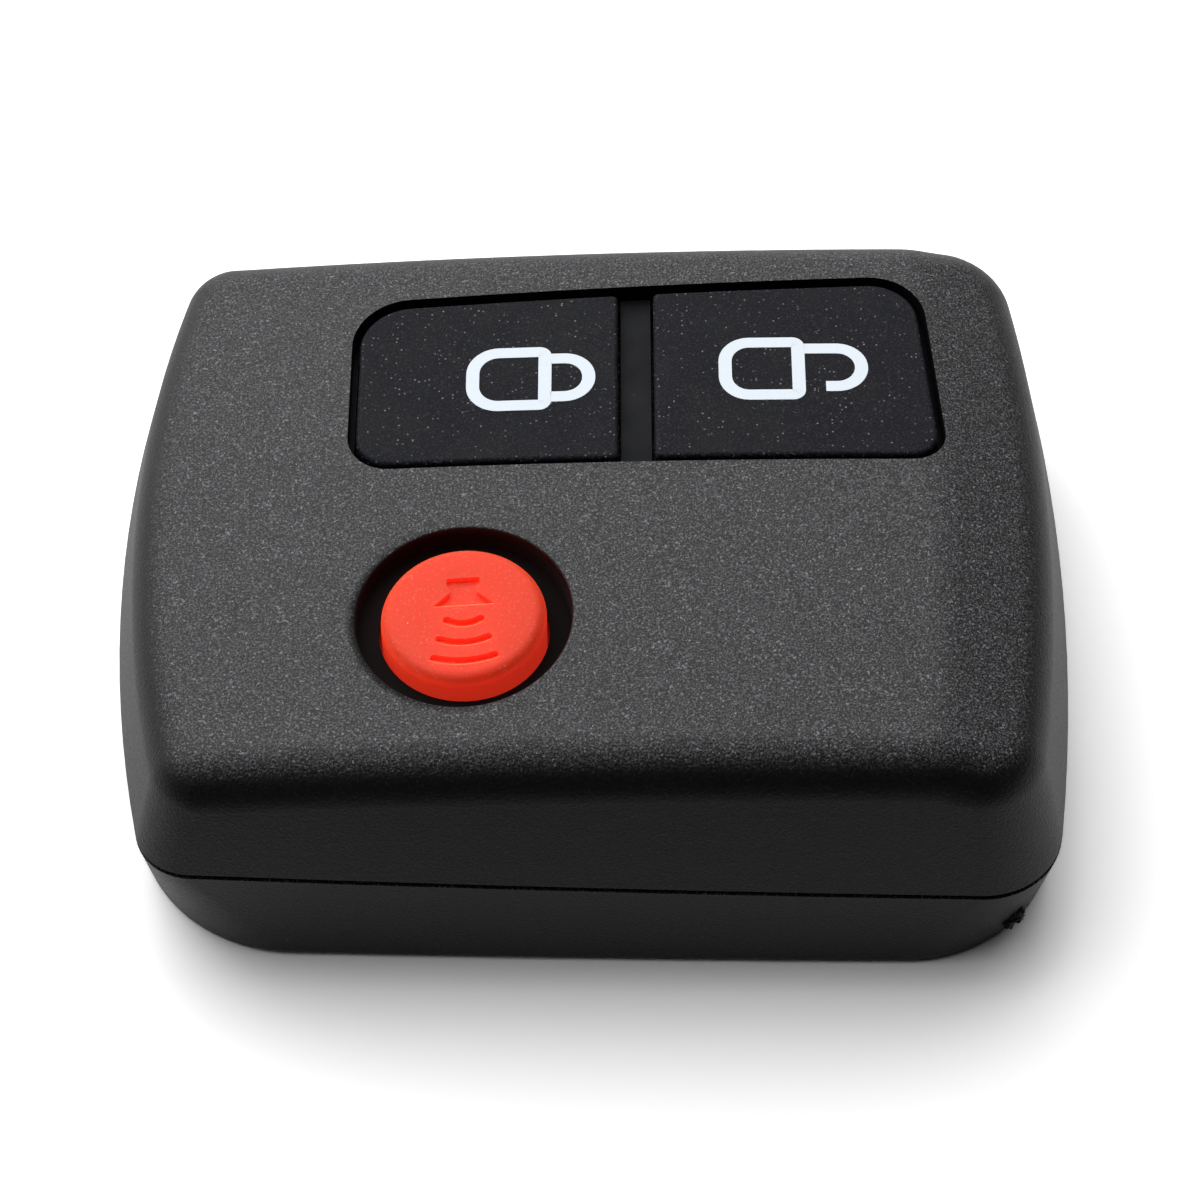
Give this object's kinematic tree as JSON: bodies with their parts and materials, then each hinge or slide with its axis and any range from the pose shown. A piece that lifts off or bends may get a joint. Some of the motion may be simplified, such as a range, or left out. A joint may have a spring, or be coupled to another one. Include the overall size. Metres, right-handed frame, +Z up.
{
  "type": "car key fob",
  "caption": "Car remote in a rounded hard case, with soft lock and unlock pads, a round red alarm button with a horn sign, and a pin for a key ring.",
  "frame": {"origin": "under the middle of the case, on the face that it lies on", "axes": "+X along the long side, from the lock pad to the unlock pad; +Y across the case, from the alarm button to the pads; +Z up, out of the crown"},
  "size_m": [0.0504, 0.0392, 0.016],
  "materials": {
    "case_plastic": "fine grained black plastic",
    "pad_rubber": "matte silicone",
    "mat_rubber": "matte silicone",
    "alarm_rubber": "satin red silicone",
    "membrane_rubber": "matte dark red silicone",
    "board_laminate": "green solder mask",
    "copper": "gold plated copper",
    "switch_plastic": "black moulded plastic",
    "bright_steel": "tinned sheet",
    "plunger_plastic": "pale moulded plastic",
    "chip_plastic": "moulded epoxy",
    "ceramic": "fired ceramic",
    "ferrite": "ferrite with varnished wire",
    "cell_steel": "nickel plated sheet",
    "seal_plastic": "moulded seal",
    "pin_steel": "drawn steel"
  },
  "bodies": {
    "base": {"bottom_case": "case_plastic", "key_ring_pin": "pin_steel", "circuit_board": "board_laminate", "antenna_loop": "copper", "lock_switch_body": "switch_plastic", "lock_switch_cover": "bright_steel", "unlock_switch_body": "switch_plastic", "unlock_switch_cover": "bright_steel", "alarm_switch_body": "switch_plastic", "alarm_switch_cover": "bright_steel", "switch_leads": "bright_steel", "controller_chip": "chip_plastic", "chip_leads": "bright_steel", "transmitter_chip": "chip_plastic", "resonator": "bright_steel", "capacitors": "ceramic", "resistors": "chip_plastic", "antenna_coil": "ferrite", "cell_can": "cell_steel", "cell_seal": "seal_plastic", "cell_cap": "cell_steel", "positive_contact": "bright_steel", "negative_contact": "bright_steel"},
    "cover": {"top_case": "case_plastic", "keypad_mat": "mat_rubber", "alarm_membrane": "membrane_rubber"},
    "lock_key": {"lock_button": "pad_rubber"},
    "unlock_key": {"unlock_button": "pad_rubber"},
    "alarm_key": {"alarm_button": "alarm_rubber"},
    "lock_stem": {"lock_plunger": "plunger_plastic"},
    "unlock_stem": {"unlock_plunger": "plunger_plastic"},
    "alarm_stem": {"alarm_plunger": "plunger_plastic"}
  },
  "joints": [
    {"name": "cover_lift", "type": "slide", "parent": "base", "child": "cover", "axis": [0, 0, 1], "range_m": [0, 0.025]},
    {"name": "lock_press", "type": "slide", "parent": "cover", "child": "lock_key", "axis": [0, 0, -1], "range_m": [0, 0.0003], "stiffness_N_per_m": 5000},
    {"name": "unlock_press", "type": "slide", "parent": "cover", "child": "unlock_key", "axis": [0, 0, -1], "range_m": [0, 0.0003], "stiffness_N_per_m": 5000},
    {"name": "alarm_press", "type": "slide", "parent": "cover", "child": "alarm_key", "axis": [0, 0, -1], "range_m": [0, 0.0003], "stiffness_N_per_m": 5000},
    {"name": "lock_stem_slide", "type": "slide", "parent": "base", "child": "lock_stem", "axis": [0, 0, -1], "range_m": [0, 0.0003]},
    {"name": "unlock_stem_slide", "type": "slide", "parent": "base", "child": "unlock_stem", "axis": [0, 0, -1], "range_m": [0, 0.0003]},
    {"name": "alarm_stem_slide", "type": "slide", "parent": "base", "child": "alarm_stem", "axis": [0, 0, -1], "range_m": [0, 0.0003]}
  ],
  "couplings": [
    {"joint": "lock_stem_slide", "follows": "lock_press", "ratio": 1},
    {"joint": "unlock_stem_slide", "follows": "unlock_press", "ratio": 1},
    {"joint": "alarm_stem_slide", "follows": "alarm_press", "ratio": 1}
  ]
}
